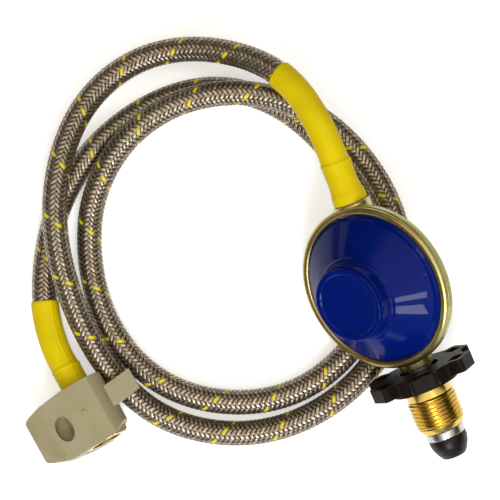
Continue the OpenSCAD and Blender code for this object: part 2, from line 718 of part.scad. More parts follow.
module stem_regulator() {
    color("lightgray") on_outlet() difference() {
        union() {
            port(-ferrule_u + 1, outlet_thread_r, ferrule_u - outlet_reach + outlet_thread_l - 1);
            port(-ferrule_u + seat, shoulder_r, shoulder_l);
            port(-hose_u + seat, 3.9, 4);
            port(-crimp_end_u + 1, barb_r, ferrule_l);
        }
        port(-crimp_end_u - 1, stem_bore_r, crimp_end_u);
    }
}

module ferrule(x, turned) {
    translate([x, 0, 0]) mirror([turned, 0, 0]) rotate([0, 90, 0]) difference() {
        rotate_extrude($fn = 64) polygon(concat(
            [[0, 0], [ferrule_out, 0]],
            [for (k = [1 : 3]) for (p = [[0, -1.4], [-0.3, -0.7], [-0.3, 0.7], [0, 1.4]])
                [ferrule_out + p.x, k * ferrule_l / 4 + p.y]],
            [[ferrule_out, ferrule_l], [0, ferrule_l]]
        ));
        translate([0, 0, -1]) cylinder(r = 3.9 + fitted, h = ferrule_l + 2, $fn = 64);
        translate([0, 0, 1.5]) cylinder(r = ferrule_in, h = ferrule_l, $fn = 64);
    }
}

module ferrule_regulator() {
    color("silver") on_outlet() translate([0, 0, -port_drop]) ferrule(-ferrule_u, 1);
}

// A shrink sleeve: over a shoulder, a ferrule and the hose's first rings
module sleeve(ends, rings_on_hose, shoulder_out) {
    path = concat(ends, rings_on_hose);
    n = len(path);
    swell = 1 / cos(180 / hose_sides);
    on_ferrule = (ferrule_out + sleeve_fit) * swell;
    on_hose = hose_r + sleeve_fit;
    on_shoulder = (shoulder_out + sleeve_fit) * swell;
    bore = [for (i = [0 : n - 1]) i < 2 ? on_shoulder : i < 4 ? on_ferrule : on_hose];
    color("gold") tube(path, [for (r = bore) r + sleeve_t], bore, hose_sides);
}

module sleeve_regulator() {
    sleeve(
        [for (u = [sleeve_u, ferrule_u + 0.2, ferrule_u + 2, crimp_end_u + 0.4]) outlet_point(u)],
        concat([outlet_point(swell_u + 0.6)], [for (k = [0 : sleeve_rings]) curve[k]]), shoulder_r
    );
}

module sleeve_far() {
    last = len(curve) - 1;
    sleeve(
        [for (x = [far_sleeve_x, -2, -3, far_ferrule_x - 0.4]) far_point(x)],
        concat([far_point(far_swell_x - 0.6)], [for (k = [0 : sleeve_rings]) curve[last - k]]), ferrule_out
    );
}

module hose_braid() {
    color("darkgray") tube(
        hose_path, [for (s = squeeze) hose_r - s], [for (s = squeeze) braid_in - s], hose_sides
    );
}

module hose_liner() {
    color("black") tube(
        hose_path, [for (s = squeeze) liner_out - s], [for (s = squeeze) liner_in - s], hose_sides
    );
}

module ferrule_far() {
    color("silver") on_far() ferrule(far_ferrule_x + ferrule_l, 1);
}

module far_round(x, r, l, r2 = undef) {
    along_x(x) cylinder(r1 = r, r2 = is_undef(r2) ? r : r2, h = l, $fn = 64);
}

module stem_far() {
    color("lightgray") on_far() difference() {
        union() {
            far_round(far_ferrule_x + 1, barb_r, ferrule_l);
            far_round(far_hose_x + seat, 3.9, 4);
            far_round(far_shoulder_x, 6, nut_x - 0.4 - far_shoulder_x);
            far_round(far_shoulder_x, far_neck_r, head_x - far_shoulder_x + 1);
            far_round(head_x, far_neck_r, 1.4, head_r);
            far_round(head_x + 1.4, head_r, head_end_x - head_x - 1.4);
        }
        far_round(far_ferrule_x, stem_bore_r, 40);
        // Conical seat in the head
        far_round(head_end_x - seat_cone_l, stem_bore_r, seat_cone_l + 0.1, stem_bore_r + seat_cone_l + 0.1);
    }
}

module flare_nut() {
    corner_r = flare_hex / cos(30) / 2;
    chamfer = 1;
    color("darkgoldenrod") on_far() difference() {
        intersection() {
            along_x(nut_x) rotate(30) hexagon(flare_hex, flare_l);
            union() {
                far_round(nut_x, corner_r - chamfer, chamfer, corner_r);
                far_round(nut_x + chamfer, corner_r, flare_l - 2 * chamfer);
                far_round(nut_x + flare_l - chamfer, corner_r, chamfer, corner_r - chamfer);
            }
        }
        far_round(nut_x - 1, far_neck_r + running, flare_l + 2);
        // Seat that pulls the stem's head, relief round the head, thread
        far_round(head_x - 0.5, far_neck_r + running, 1.8, head_r + 0.3);
        far_round(head_x + 1.2, relief_r, head_l - 1);
        far_round(head_end_x, flare_bore / 2, flare_l);
    }
}

// The winged collar: its section across the nut's axis and its outline from above
module collar_section() {
    half = barrel_d / 2;
    intersection() {
        circle(r = half, $fn = 96);
        polygon([
            [-half, collar_top], [-half, -8.5], [-2, -collar_low], [half, -collar_low], [half, collar_top]
        ]);
    }
    polygon([
        [0, -3], [0, collar_top], [-7, collar_top], [-19, collar_top - 2.6], [2 - wing_reach, 1.6],
        [0.6 - wing_reach, 0.6], [-wing_reach, -0.8], [0.8 - wing_reach, -2.4], [2.4 - wing_reach, -2.6],
        [-17, -1]
    ]);
}

module collar_outline() {
    front = collar_length;
    side = barrel_d / 2 + 1;
    polygon([
        [0, side], [0, -7], [1, -17], [2.4, 2.6 - wing_reach], [3, 1 - wing_reach], [4.4, -wing_reach],
        [22.4, -wing_reach], [24, 0.6 - wing_reach], [25.2, 2.8 - wing_reach], [front - 0.3, -17.5],
        [front, -15], [front, 1], [front - 1.6, 8], [front - 5.4, side]
    ]);
}

// Core-out of the broad wing: an oval from above whose floor keeps clear of the nut's socket
module wing_pocket() {
    facets = 48;
    intersection() {
        translate([15.6, -12.7, 0]) linear_extrude(barrel_d)
            polygon([for (k = [0 : facets - 1])
                [pocket_l / 2 * cos(360 * k / facets), pocket_w / 2 * sin(360 * k / facets)]]);
        rotate([90, 0, 90]) linear_extrude(collar_length)
            polygon([[-20, 2], [-11.5, 2], [-8.6, 7], [-8, barrel_d], [-20, barrel_d]]);
    }
}

module wing_collar() {
    back_edge = 1.5;
    lug_low = 2.7;
    lug_t = 3.9;
    lug_sweep = 2.5;
    lug_x = 8.3;
    taper_r = 10.4;
    taper_l = 13.5;
    taper_side = 16;
    color("wheat") on_far() difference() {
        union() {
            difference() {
                intersection() {
                    rotate([90, 0, 90]) linear_extrude(collar_length) collar_section();
                    translate([0, 0, -barrel_d]) linear_extrude(2 * barrel_d) collar_outline();
                }
                // Taper on one side, so that the collar turns past the hose beside it
                intersection() {
                    rotate([taper_side, 0, 0]) translate([-1, 0, -barrel_d])
                        cube([taper_l + 1, barrel_d, barrel_d]);
                    difference() {
                        far_round(-1, barrel_d, taper_l + 1);
                        far_round(0, taper_r, taper_l, barrel_d / 2);
                    }
                }
            }
            // Narrow lug on the other side, swept back a little
            translate([0, 0, lug_low]) linear_extrude(lug_t) polygon([
                [lug_x, 0], [lug_x - lug_sweep, lug_reach], [lug_x - lug_sweep + lug_w, lug_reach],
                [lug_x + lug_w + 0.8, 0]
            ]);
            // Mark of the moulding gate
            translate([13.2, -1.4, collar_top - 1]) cylinder(d = 1.4, h = 1.2, $fn = 32);
        }
        // Socket of the nut and bore round the ferrule
        along_x(nut_x - 0.2) rotate(30) hexagon(wrench_hex, collar_length);
        far_round(-1, ferrule_out + 0.4, nut_x + 2);
        far_round(-0.1, ferrule_out + 0.4 + back_edge, back_edge, ferrule_out + 0.4);
        wing_pocket();
    }
}

lower_body();
bonnet();
tower_cap();
adjusting_screw();
main_spring();
diaphragm();
body_gasket();
diaphragm_plate();
diaphragm_post();
post_nut();
lever();
lever_pin();
valve_plunger();
seat_disc();
orifice_nozzle();
vent_screen();
inlet_nipple();
nose_seal();
pol_nut();
handwheel();
stem_regulator();
ferrule_regulator();
sleeve_regulator();
hose_braid();
hose_liner();
sleeve_far();
ferrule_far();
stem_far();
flare_nut();
wing_collar();
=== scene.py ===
import math

import bmesh
import bpy
import numpy as np
from mathutils import Euler, Matrix, Vector


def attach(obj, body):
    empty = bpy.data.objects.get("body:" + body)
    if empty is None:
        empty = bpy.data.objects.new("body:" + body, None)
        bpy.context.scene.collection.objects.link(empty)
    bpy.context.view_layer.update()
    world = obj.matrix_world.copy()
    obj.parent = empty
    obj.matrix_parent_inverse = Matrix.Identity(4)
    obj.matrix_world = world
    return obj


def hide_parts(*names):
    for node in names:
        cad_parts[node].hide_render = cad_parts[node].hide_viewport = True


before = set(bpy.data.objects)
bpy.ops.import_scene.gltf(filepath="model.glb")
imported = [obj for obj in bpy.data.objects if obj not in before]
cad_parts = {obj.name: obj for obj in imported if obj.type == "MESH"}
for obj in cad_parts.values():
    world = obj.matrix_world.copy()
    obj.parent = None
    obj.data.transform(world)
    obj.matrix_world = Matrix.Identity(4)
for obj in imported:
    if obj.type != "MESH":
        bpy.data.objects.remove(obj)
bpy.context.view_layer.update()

mm = 0.001
scene = bpy.context.scene
scene.view_settings.view_transform = "Standard"
root = "regulator_and_hose"

# Where the regulator and the far fitting lie, as in the solids
place = {
    "regulator": Vector((-7.6, 17.8, 36.2)) * mm,
    "regulatorTurn": (41.8, 6.4, -67.1),
    "outletTurn": (0, 0, -1),
    "far": Vector((-140.5, -26.5, 12.4)) * mm,
    "farTurn": (0, -8, -60),
    "portDrop": 7.5 * mm,
}


def turned(degrees):
    return Euler([math.radians(a) for a in degrees], "XYZ").to_matrix().to_4x4()


def moved(x, y, z):
    return Matrix.Translation(Vector((x, y, z)) * mm)


# The ports lie below the diaphragm's level, and alongX lays a profile's own Z along X
regulatorFrame = Matrix.Translation(place["regulator"]) @ turned(place["regulatorTurn"])
farFrame = Matrix.Translation(place["far"]) @ turned(place["farTurn"])
alongX = Matrix(((0, 0, 1, 0), (0, 1, 0, 0), (-1, 0, 0, 0), (0, 0, 0, 1)))
onPorts = Matrix.Translation((0, 0, -place["portDrop"]))
portFrame = regulatorFrame @ onPorts @ alongX
outletFrame = regulatorFrame @ turned(place["outletTurn"]) @ onPorts


# Camera
def makeCamera():
    lens = {"focal": 158.04, "sensor": 36, "height": 1.0, "x": -62.1 * mm, "y": 34.6 * mm}
    data = bpy.data.cameras.new("Camera")
    data.lens = lens["focal"]
    data.sensor_width = lens["sensor"]
    camera = bpy.data.objects.new("Camera", data)
    camera.location = (lens["x"], lens["y"], lens["height"])
    scene.collection.objects.link(camera)
    scene.camera = camera


makeCamera()
print("camera")


# Materials
def emptyMaterial(name):
    material = bpy.data.materials.new(name)
    material.use_nodes = True
    tree = material.node_tree
    shader = tree.nodes["Principled BSDF"]
    return material, tree, shader


def node(tree, kind, inputs=(), **settings):
    made = tree.nodes.new(kind)
    for key, value in settings.items():
        setattr(made, key, value)
    for key, value in dict(inputs).items():
        if isinstance(value, bpy.types.NodeSocket):
            tree.links.new(value, made.inputs[key])
        else:
            made.inputs[key].default_value = value
    return made


def mathNode(tree, operation, a, b=None, c=None, **settings):
    inputs = {k: v for k, v in enumerate((a, b, c)) if v is not None}
    return node(tree, "ShaderNodeMath", inputs, operation=operation, **settings).outputs[0]


def mixed(tree, a, b, factor=1.0, blend="MIX"):
    inputs = {"Factor": factor, "A": a, "B": b}
    made = node(tree, "ShaderNodeMix", inputs, data_type="RGBA", blend_type=blend)
    return made.outputs["Result"]


def noise(tree, scale, detail, rough=0.55):
    where = node(tree, "ShaderNodeTexCoord").outputs["Object"]
    made = node(
        tree, "ShaderNodeTexNoise", {"Vector": where, "Scale": scale, "Detail": detail, "Roughness": rough}
    )
    return made.outputs["Fac"]


def ramp(tree, fac, stops):
    made = node(tree, "ShaderNodeValToRGB", {"Fac": fac})
    band = made.color_ramp
    while len(band.elements) < len(stops):
        band.elements.new(0.5)
    for element, (at, color) in zip(band.elements, stops):
        element.position = at
        element.color = (*color, 1)
    return made.outputs["Color"]


def bump(tree, shader, height, strength, depth):
    inputs = {"Height": height, "Strength": strength, "Distance": depth * mm}
    tree.links.new(node(tree, "ShaderNodeBump", inputs).outputs["Normal"], shader.inputs["Normal"])


# The range that a noise mostly stays in, spread between two values
noiseLow, noiseHigh = 0.3, 0.7


def spread(tree, fac, low, high):
    limits = {"Value": fac, "From Min": noiseLow, "From Max": noiseHigh, "To Min": low, "To Max": high}
    return node(tree, "ShaderNodeMapRange", limits).outputs["Result"]


def setSockets(shader, sockets):
    for key, value in sockets.items():
        shader.inputs[key.replace("_", " ")].default_value = value


def shade(color, amount):
    return tuple(min(1.0, c * amount) for c in color)


# One material: a colour that varies in clouds of about eight grains, a roughness that varies, and relief
def surface(name, color, rough, metal=0.0, vary=0.06, grain=900, relief=0.0, depth=0.05, **sockets):
    material, tree, shader = emptyMaterial(name)
    setSockets(shader, {"Metallic": metal, **sockets})
    cloud = noise(tree, scale=0.12 * grain, detail=4)
    fine = noise(tree, scale=grain, detail=5)
    tone = ramp(tree, cloud, [(noiseLow, shade(color, 1 - vary)), (noiseHigh, shade(color, 1 + vary))])
    tree.links.new(tone, shader.inputs["Base Color"])
    tree.links.new(spread(tree, fine, low=0.85 * rough, high=1.2 * rough), shader.inputs["Roughness"])
    if relief:
        bump(tree, shader, fine, relief, depth)
    return material


# A zinc coat whose tones change every centimetre or two
def chromateMaterial(name, tones):
    material, tree, shader = emptyMaterial(name)
    setSockets(shader, {"Metallic": 0.95})
    tint = ramp(tree, noise(tree, scale=60, detail=5, rough=0.6), tones)
    tree.links.new(tint, shader.inputs["Base Color"])
    rough = spread(tree, noise(tree, scale=900, detail=5), low=0.26, high=0.4)
    tree.links.new(rough, shader.inputs["Roughness"])
    bump(tree, shader, noise(tree, scale=1500, detail=4), strength=0.1, depth=0.04)
    return material


# Wires side by side in each band, with painted shade: each band is darker towards its edges and where it
# dips under another
def braidMaterial():
    look = {
        "wiresPerBand": 6,
        "tracer": (0.74, 0.62, 0.01, 1),
        "steel": [(0.1, (0.27, 0.222, 0.155)), (0.5, (0.335, 0.283, 0.207)), (0.9, (0.41, 0.36, 0.28))],
        # Painted shade: these two ramps darken the bands' edges and the low places where a band dips under
        # another
        "paintedEdgeShade": [(0.0, (1, 1, 1)), (0.34, (0.85, 0.82, 0.78)), (0.5, (0.07, 0.05, 0.033))],
        "paintedDipShade": [(0.0, (0.06, 0.044, 0.03)), (0.9, (1, 1, 1))],
        "metal": 0.85,
        "rough": 0.28,
    }
    material, tree, shader = emptyMaterial("WovenSteel")
    across, tracer, tint, rise = (
        node(tree, "ShaderNodeAttribute", attribute_name=name).outputs["Fac"]
        for name in ("across", "tracer", "tint", "rise")
    )
    angle = mathNode(tree, "MULTIPLY", across, 2 * math.pi * look["wiresPerBand"])
    wires = mathNode(tree, "COSINE", angle)
    edge = mathNode(tree, "ABSOLUTE", across)
    color = mixed(tree, ramp(tree, tint, look["steel"]), look["tracer"], factor=tracer)
    # Painted shade at the bands' edges, then painted shade where a band dips low
    color = mixed(tree, color, ramp(tree, edge, look["paintedEdgeShade"]), blend="MULTIPLY")
    color = mixed(tree, color, ramp(tree, rise, look["paintedDipShade"]), blend="MULTIPLY")
    tree.links.new(color, shader.inputs["Base Color"])
    bare = mathNode(tree, "SUBTRACT", look["metal"], tracer, use_clamp=True)
    tree.links.new(bare, shader.inputs["Metallic"])
    setSockets(shader, {"Roughness": look["rough"]})
    bump(tree, shader, wires, strength=0.4, depth=0.02)
    return material


def sleeveMaterial():
    material, tree, shader = emptyMaterial("YellowSleeve")
    cloud = noise(tree, scale=70, detail=4)
    tone = ramp(tree, cloud, [(noiseLow, (0.65, 0.50, 0.001)), (noiseHigh, (0.74, 0.58, 0.002))])
    tree.links.new(tone, shader.inputs["Base Color"])
    setSockets(shader, {"Roughness": 0.5, "Specular IOR Level": 0.09})
    bump(tree, shader, noise(tree, scale=260, detail=3), strength=0.3, depth=0.25)
    return material


def nylonMaterial():
    material, tree, shader = emptyMaterial("CreamNylon")
    tone = ramp(tree, noise(tree, scale=55, detail=5), [
        (0.28, (0.30, 0.262, 0.14)), (0.5, (0.36, 0.318, 0.175)), (0.72, (0.35, 0.33, 0.22)),
    ])
    tree.links.new(tone, shader.inputs["Base Color"])
    setSockets(shader, {
        "Roughness": 0.48, "Specular IOR Level": 0.4, "Subsurface Weight": 0.2, "Subsurface Scale": 2 * mm,
    })
    bump(tree, shader, noise(tree, scale=600, detail=4), strength=0.25, depth=0.2)
    return material


looks = {
    "blue": surface(
        "BluePaint", (0.0003, 0.0085, 0.135), rough=0.32, grain=300, relief=0.05, depth=0.04,
        Specular_IOR_Level=0.02, Coat_Weight=0.16, Coat_Roughness=0.03,
    ),
    "chromate": chromateMaterial("ChromateOlive", [
        (0.28, (0.19, 0.205, 0.08)), (0.45, (0.32, 0.30, 0.11)),
        (0.6, (0.37, 0.37, 0.17)), (0.75, (0.24, 0.30, 0.16)),
    ]),
    "gold": chromateMaterial("ChromateGold", [
        (0.28, (0.25, 0.165, 0.075)), (0.45, (0.43, 0.32, 0.11)),
        (0.6, (0.49, 0.43, 0.17)), (0.75, (0.33, 0.24, 0.16)),
    ]),
    "braid": braidMaterial(),
    "underBraid": surface("UnderBraid", (0.035, 0.026, 0.02), rough=0.6, metal=0.2),
    "sleeve": sleeveMaterial(),
    "nylon": nylonMaterial(),
    "brass": surface("Brass", (0.60, 0.42, 0.095), rough=0.25, metal=1.0, vary=0.1, grain=200),
    "paleBrass": surface(
        "PaleBrass", (0.70, 0.60, 0.34), rough=0.28, metal=1.0, vary=0.08, relief=0.08, depth=0.03,
    ),
    "steel": surface("Steel", (0.49, 0.49, 0.45), rough=0.28, metal=1.0, grain=400),
    "springSteel": surface("SpringSteel", (0.3, 0.3, 0.31), rough=0.35, metal=1.0, vary=0.05),
    "blackPlastic": surface(
        "BlackPlastic", (0.0085, 0.0058, 0.0036), rough=0.4, vary=0.2, grain=1400, relief=0.2,
        Specular_IOR_Level=0.09,
    ),
    "rubber": surface(
        "BlackRubber", (0.008, 0.0065, 0.0045), rough=0.36, vary=0.2, grain=1200, relief=0.1,
        Specular_IOR_Level=0.2,
    ),
    "nitrile": surface(
        "Nitrile", (0.03, 0.028, 0.026), rough=0.6, vary=0.15, grain=1200, relief=0.3, depth=0.08,
    ),
    "paper": surface(
        "GasketPaper", (0.33, 0.22, 0.12), rough=0.8, vary=0.12, grain=1500, relief=0.3, depth=0.08,
    ),
}
print("materials")

# Mesh helpers: lengths in millimetres, angles in degrees
mesh = {
    "doubles": 0.001,
    "sliver": 0.0001,
    "flatAngle": 0.6,
    "bevelAngle": 32,
    "filletStep": 15,
    "filletShare": 0.49,
}


def meshObject(name, vertices, faces, material, body=root, smoothAngle=40):
    data = bpy.data.meshes.new(name)
    data.from_pydata([tuple(v) for v in vertices], [], [tuple(f) for f in faces])
    data.validate()
    data.materials.append(material)
    data.polygons.foreach_set("use_smooth", [True] * len(data.polygons))
    data.set_sharp_from_angle(angle=math.radians(smoothAngle))
    made = bpy.data.objects.new(name, data)
    scene.collection.objects.link(made)
    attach(made, body)
    return made


def joinDoubles(made):
    soft = bmesh.new()
    soft.from_mesh(made.data)
    bmesh.ops.remove_doubles(soft, verts=soft.verts, dist=mesh["doubles"] * mm)
    bmesh.ops.dissolve_degenerate(soft, edges=soft.edges, dist=mesh["sliver"] * mm)
    soft.to_mesh(made.data)
    soft.free()


def turnOutward(made):
    soft = bmesh.new()
    soft.from_mesh(made.data)
    bmesh.ops.recalc_face_normals(soft, faces=soft.faces)
    if soft.calc_volume(signed=True) < 0:
        bmesh.ops.reverse_faces(soft, faces=soft.faces)
    soft.to_mesh(made.data)
    soft.free()


# What the modifiers make, as a plain mesh
def applyModifiers(made):
    bpy.context.view_layer.update()
    finished = made.evaluated_get(bpy.context.evaluated_depsgraph_get())
    applied = bpy.data.meshes.new_from_object(finished)
    made.modifiers.clear()
    made.data = applied


# The corners (radius, height, fillet) of a profile as points, with each fillet as an arc
def filleted(corners):
    out = []
    for i, corner in enumerate(corners):
        here = Vector(corner[:2])
        radius = corner[2] if len(corner) > 2 else 0
        if not radius:
            out.append(here)
            continue
        before = Vector(corners[i - 1][:2]) - here
        after = Vector(corners[(i + 1) % len(corners)][:2]) - here
        half = before.angle(after) / 2
        share = mesh["filletShare"]
        reach = min(radius / math.tan(half), share * before.length, share * after.length)
        radius = reach * math.tan(half)
        start = here + before.normalized() * reach
        end = here + after.normalized() * reach
        middle = here + (before.normalized() + after.normalized()).normalized() * (radius / math.sin(half))
        sweep = math.pi - 2 * half
        steps = max(2, round(math.degrees(sweep) / mesh["filletStep"]))
        a = (start - middle).normalized()
        b = (end - middle).normalized()
        for k in range(steps + 1):
            t = k / steps
            blend = (a * math.sin((1 - t) * sweep) + b * math.sin(t * sweep)) / math.sin(sweep)
            out.append(middle + blend * radius)
    return out


# A profile turned about the Z of its frame; it is closed into a ring unless it starts and ends on that axis
def revolved(name, corners, at, material, segments, body=root):
    points = filleted(corners)
    vertices, rings = [], []
    for p in points:
        if p.x == 0:
            rings.append([len(vertices)])
            vertices.append(at @ Vector((0, 0, p.y * mm)))
            continue
        rings.append(list(range(len(vertices), len(vertices) + segments)))
        for k in range(segments):
            a = 2 * math.pi * k / segments
            vertices.append(at @ (Vector((p.x * math.cos(a), p.x * math.sin(a), p.y)) * mm))
    faces = []
    for low, high in zip(rings, rings[1:] + rings[:1]):
        if len(low) == 1 and len(high) == 1:
            continue
        for k in range(segments):
            j = (k + 1) % segments
            if len(low) == 1:
                faces.append((low[0], high[j], high[k]))
            elif len(high) == 1:
                faces.append((low[k], low[j], high[0]))
            else:
                faces.append((low[k], low[j], high[j], high[k]))
    made = meshObject(name, vertices, faces, material, body)
    turnOutward(made)
    return made


# The solid's own mesh with its sharp edges rounded
def softened(name, cadNode, material, body, width, segments):
    soft = bmesh.new()
    soft.from_mesh(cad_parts[cadNode].data)
    bmesh.ops.remove_doubles(soft, verts=soft.verts, dist=mesh["doubles"] * mm)
    flat = math.radians(mesh["flatAngle"])
    bmesh.ops.dissolve_limit(soft, angle_limit=flat, verts=soft.verts, edges=soft.edges)
    data = bpy.data.meshes.new(name)
    soft.to_mesh(data)
    soft.free()
    data.materials.clear()
    data.materials.append(material)
    data.polygons.foreach_set("use_smooth", [True] * len(data.polygons))
    made = bpy.data.objects.new(name, data)
    scene.collection.objects.link(made)
    bevel = made.modifiers.new("Bevel", "BEVEL")
    bevel.width = width * mm
    bevel.segments = segments
    bevel.limit_method = "ANGLE"
    bevel.angle_limit = math.radians(mesh["bevelAngle"])
    bevel.harden_normals = False
    weighted = made.modifiers.new("Weighted", "WEIGHTED_NORMAL")
    weighted.keep_sharp = True
    applyModifiers(made)
    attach(made, body)
    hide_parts(cadNode)
    return made


# Hose: its radii, and places on the outlet's and the far fitting's own lines. The core takes every third
# point of the centre line and the cord's path every fourth. The route has the points between the fittings.
hose = {
    "radius": 5.7,
    "pitch": 26.5,
    "coreRadius": 5.05,
    "coreSides": 24,
    "coreEvery": 3,
    "pathEvery": 4,
    "outletStart": 43.15,
    "outletLead": (57.15, 59.15),
    "outletCurve": 62.15,
    "outletStep": 14,
    "farStart": 5,
    "farLead": (-11, -9),
    "farCurve": -12,
    "farStep": 9,
    "spanSteps": 20,
}
lie = hose["radius"]
route = [
    [-48, 116, 31], [-82, 127, 13.5], [-112, 123, 8.5], [-135, 105, 11], [-147, 80, 16.5],
    [-151, 51, 19], [-146, 20, 17], [-131, -15, 11.5], [-107, -41, lie], [-76, -50, lie],
    [-45, -47, lie], [-16, -30, lie], [3, -5, lie], [9, 25, lie], [2, 58, 12.5],
    [-21, 89, 17.5], [-54, 107, 18.5], [-92, 104, 17.5], [-119, 86, 17.5], [-133, 61, 9.5],
    [-136, 39, 5], [-132, 9, 6], [-114, -20, lie], [-85, -35, lie], [-49, -35, lie],
    [-22, -19, lie], [-5.5, 5, lie], [-4, 37, lie], [-17, 72, lie], [-45, 101, lie],
    [-79, 111, lie], [-111, 100, lie], [-136, 79, lie], [-152, 51, lie], [-157, 14, lie],
]


def outletPoint(u):
    return outletFrame @ Vector((-u * mm, 0, 0))


def farPoint(x):
    return farFrame @ Vector((x * mm, 0, 0))


# A smooth curve that four neighbouring points pull on (a uniform cubic B-spline)
def spanPoint(p, i, t):
    weights = ((1 - t) ** 3, 3 * t**3 - 6 * t**2 + 4, 3 * t * (1 + t - t * t) + 1, t**3)
    return sum((p[i + k] * w for k, w in enumerate(weights)), Vector()) / 6


def hoseRoute():
    control = [outletPoint(hose["outletCurve"] + k * hose["outletStep"]) for k in (-1, 0, 1)]
    control += [Vector(p) * mm for p in route]
    control += [farPoint(hose["farCurve"] - k * hose["farStep"]) for k in (1, 0, -1)]
    steps = hose["spanSteps"]
    points = [outletPoint(u) for u in (hose["outletStart"], *hose["outletLead"])]
    points += [spanPoint(control, i, k / steps) for i in range(len(control) - 3) for k in range(steps)]
    points += [farPoint(x) for x in (hose["farCurve"], *hose["farLead"], hose["farStart"])]
    return points


def lengthsAlong(line):
    gaps = np.linalg.norm(np.diff(line, axis=0), axis=1)
    return np.concatenate([[0], np.cumsum(gaps)])


def pointsAt(line, lengths, wanted):
    return np.stack([np.interp(wanted, lengths, line[:, k]) for k in range(3)], axis=1)


# Points about every millimetre along the hose, from end to end
def spacedRoute():
    line = np.array([tuple(p) for p in hoseRoute()])
    lengths = lengthsAlong(line)
    total = float(lengths[-1])
    return pointsAt(line, lengths, np.linspace(0, total, int(total / mm) + 1)), total


centreLine, hoseLength = spacedRoute()


# Unit directions all round each point of a line, which don't twist along it, and their angles
def directionsRound(line, sides):
    along = np.gradient(line, axis=0)
    along /= np.linalg.norm(along, axis=1)[:, None]
    side = np.cross([0, 0, 1], along[0])
    east = [side / np.linalg.norm(side)]
    for t in along[1:]:
        side = east[-1] - t * np.dot(east[-1], t)
        east.append(side / np.linalg.norm(side))
    east = np.array(east)
    north = np.cross(along, east)
    angles = 2 * np.pi * np.arange(sides) / sides
    ring = np.cos(angles)[None, :, None] * east[:, None] + np.sin(angles)[None, :, None] * north[:, None]
    return ring, angles


def tubeFaces(count, sides, first=0):
    faces = []
    for i in range(count - 1):
        low, high = first + i * sides, first + (i + 1) * sides
        for k in range(sides):
            j = (k + 1) % sides
            faces.append((low + k, low + j, high + j, high + k))
    return faces


def makeCore():
    line, sides = centreLine[::hose["coreEvery"]], hose["coreSides"]
    ring, _ = directionsRound(line, sides)
    vertices = (line[:, None] + ring * (hose["coreRadius"] * mm)).reshape(-1, 3)
    last = (len(line) - 1) * sides
    ends = [range(sides - 1, -1, -1), range(last, last + sides)]
    faces = tubeFaces(len(line), sides) + ends
    made = meshObject("hose_core", vertices, faces, looks["underBraid"], smoothAngle=50)
    turnOutward(made)
    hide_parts("hose_braid", "hose_liner")
    return made


hoseCore = makeCore()
print("hose core", round(hoseLength, 4))

# Woven braid: bands that cross two over and two under
braid = {
    "bandsEachWay": 12,
    "bandWidth": 1.56,
    "tracerWidth": 1.2,
    "middle": 5.36,
    "wave": 0.2,
    "boxy": 0.35,
    "crown": 0.15,
    "crownPower": 3.0,
    "rowLength": 0.62,
    "columns": 7,
    "pieces": 6,
    "margin": 1.4,
    "tintSeed": 7,
}


# Short names for the field maths of a geometry node tree
class Fields:
    def __init__(self, tree):
        self.tree = tree

    def put(self, kind, inputs=(), **settings):
        return node(self.tree, kind, inputs, **settings)

    def math(self, operation, a, b=None, c=None):
        return mathNode(self.tree, operation, a, b, c)

    def vector(self, operation, a, b=None, scale=None):
        inputs = {0: a}
        if b is not None:
            inputs[1] = b
        if scale is not None:
            inputs["Scale"] = scale
        return self.put("ShaderNodeVectorMath", inputs, operation=operation).outputs[0]

    def store(self, geometry, name, value):
        inputs = {"Geometry": geometry, "Name": name, "Value": value}
        made = self.put("GeometryNodeStoreNamedAttribute", inputs, data_type="FLOAT", domain="POINT")
        return made.outputs["Geometry"]


def braidSockets(tree):
    face = tree.interface
    face.new_socket("Route", in_out="INPUT", socket_type="NodeSocketGeometry")
    for name in ("From", "To", "Rows", "Pitch", "Middle", "Wave", "Crown", "Band Width"):
        kind = "NodeSocketInt" if name == "Rows" else "NodeSocketFloat"
        face.new_socket(name, in_out="INPUT", socket_type=kind)
    face.new_socket("Braid Material", in_out="INPUT", socket_type="NodeSocketMaterial")
    face.new_socket("Braid", in_out="OUTPUT", socket_type="NodeSocketGeometry")


# A flat square strip for each band, which carries the band's number
def flatStrips(f, rows, bands):
    grid = f.put(
        "GeometryNodeMeshGrid",
        {"Size X": 1.0, "Size Y": 1.0, "Vertices X": rows, "Vertices Y": braid["columns"]},
    ).outputs["Mesh"]
    starts = f.put("GeometryNodeMeshLine", {"Count": 2 * bands, "Offset": (0, 0, 0)}, mode="OFFSET")
    starts = f.store(starts.outputs["Mesh"], "carrier", f.put("GeometryNodeInputIndex").outputs[0])
    copies = f.put("GeometryNodeInstanceOnPoints", {"Points": starts, "Instance": grid}).outputs["Instances"]
    return f.put("GeometryNodeRealizeInstances", {"Geometry": copies}).outputs["Geometry"]


# Two over, two under: the height above the hose's middle follows the bands that are crossed
def bandHeight(f, given, crossing, way, across):
    swing = f.math("COSINE", f.math("MULTIPLY", crossing, math.pi / 2))
    swing = f.math("MULTIPLY", swing, way)
    squared = f.math("MULTIPLY", f.math("MULTIPLY", swing, swing), braid["boxy"])
    swing = f.math("MULTIPLY", swing, f.math("SUBTRACT", 1 + braid["boxy"], squared))
    outward = f.math("ABSOLUTE", f.math("MULTIPLY", across, 2.0))
    hump = f.math("SUBTRACT", 1.0, f.math("POWER", outward, braid["crownPower"]))
    height = f.math("MULTIPLY_ADD", swing, given["Wave"], given["Middle"])
    return swing, f.math("MULTIPLY_ADD", hump, given["Crown"], height)


# The place at a length along the curve, at an angle and a height round it
def placeRound(f, line, along, angle, height):
    sample = f.put("GeometryNodeSampleCurve", {"Curves": line, "Length": along}, mode="LENGTH")
    ahead, normal = sample.outputs["Tangent"], sample.outputs["Normal"]
    other = f.vector("CROSS_PRODUCT", normal, ahead)
    east = f.vector("SCALE", normal, scale=f.math("MULTIPLY", height, f.math("COSINE", angle)))
    north = f.vector("SCALE", other, scale=f.math("MULTIPLY", height, f.math("SINE", angle)))
    return f.vector("ADD", sample.outputs["Position"], f.vector("ADD", east, north))


